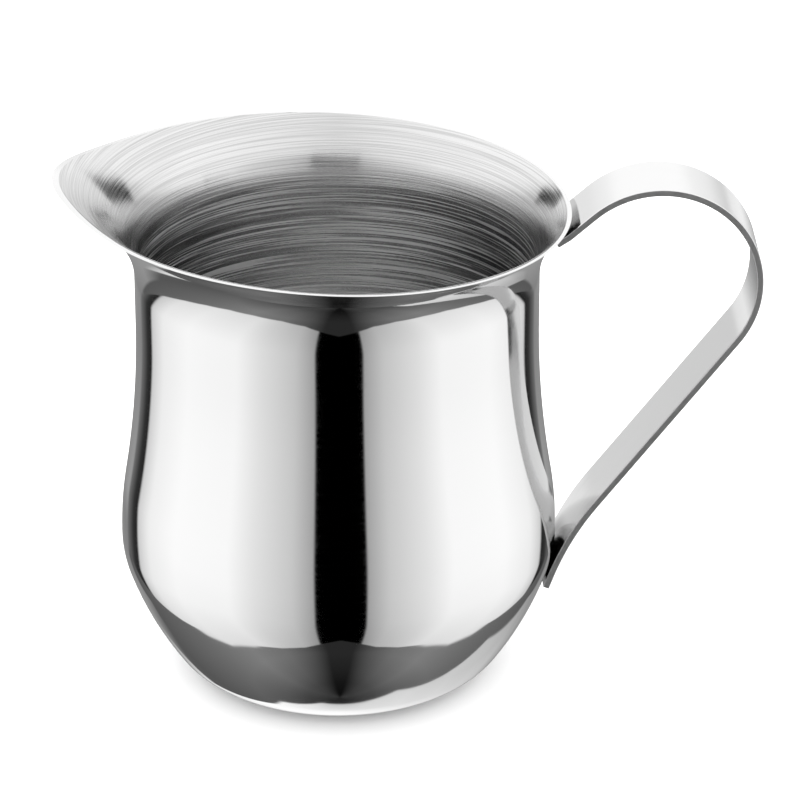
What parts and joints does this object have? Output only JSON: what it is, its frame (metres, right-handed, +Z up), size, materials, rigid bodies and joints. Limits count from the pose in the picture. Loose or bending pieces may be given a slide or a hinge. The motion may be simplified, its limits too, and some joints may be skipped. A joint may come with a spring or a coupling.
{
  "type": "cream jug",
  "caption": "Small bell-shaped polished steel cream jug with a pulled pouring lip and a bent strap handle welded under the rim and low on the belly.",
  "frame": {"origin": "centre of the flat base, on the body's axis, on the surface the jug stands on", "axes": "+Z up along the body's axis, +X towards the handle, so that the pouring lip points to -X; +Y is to the left when looking along +X"},
  "size_m": [0.0906, 0.0604, 0.0689],
  "materials": {
    "polished_steel": "mirror polished outside, brushed with lines round the axis inside",
    "strap_steel": "polished strip with sheared edges",
    "weld_steel": "dull fused steel"
  },
  "bodies": {
    "root": {"body_shell": "polished_steel", "handle_strap": "strap_steel", "upper_weld_bead": "weld_steel", "lower_spot_weld": "weld_steel"}
  },
  "joints": []
}
